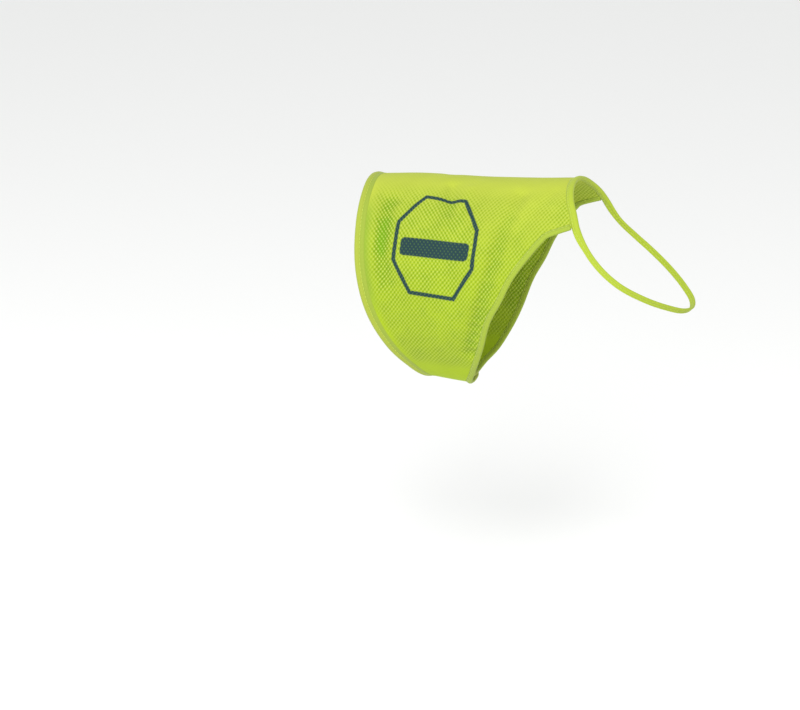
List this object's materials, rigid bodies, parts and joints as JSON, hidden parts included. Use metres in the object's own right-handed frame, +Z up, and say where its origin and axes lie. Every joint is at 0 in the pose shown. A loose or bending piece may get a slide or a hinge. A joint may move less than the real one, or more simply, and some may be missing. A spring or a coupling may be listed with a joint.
{
  "type": "dog safety vest",
  "caption": "Worn dog safety vest in fluorescent yellow mesh: a back and flank panel with bound edges, a thin neck strap and a belly closure.",
  "frame": {"origin": "inner face of the main panel on the spine, at the middle of the back, where the wearer's back holds the vest", "axes": "+X towards the wearer's head, +Y towards the wearer's left, +Z up"},
  "size_m": [0.2866, 0.1418, 0.1892],
  "materials": {
    "mesh_knit": "fluorescent yellow-green polyester bird's-eye mesh, matt",
    "binding_tape": "smooth fluorescent yellow-green knit tape, folded and stitched",
    "loop_pile": "brushed loop pile of a hook-and-loop closure",
    "hook_tape": "moulded hook tape of a hook-and-loop closure"
  },
  "bodies": {
    "root": {"main_panel": "mesh_knit", "hem_binding": "binding_tape", "armhole_binding_right": "binding_tape", "armhole_binding_left": "binding_tape", "neck_tape": "binding_tape", "belly_loop_patch": "loop_pile", "belly_hook_patch": "hook_tape"}
  },
  "joints": []
}
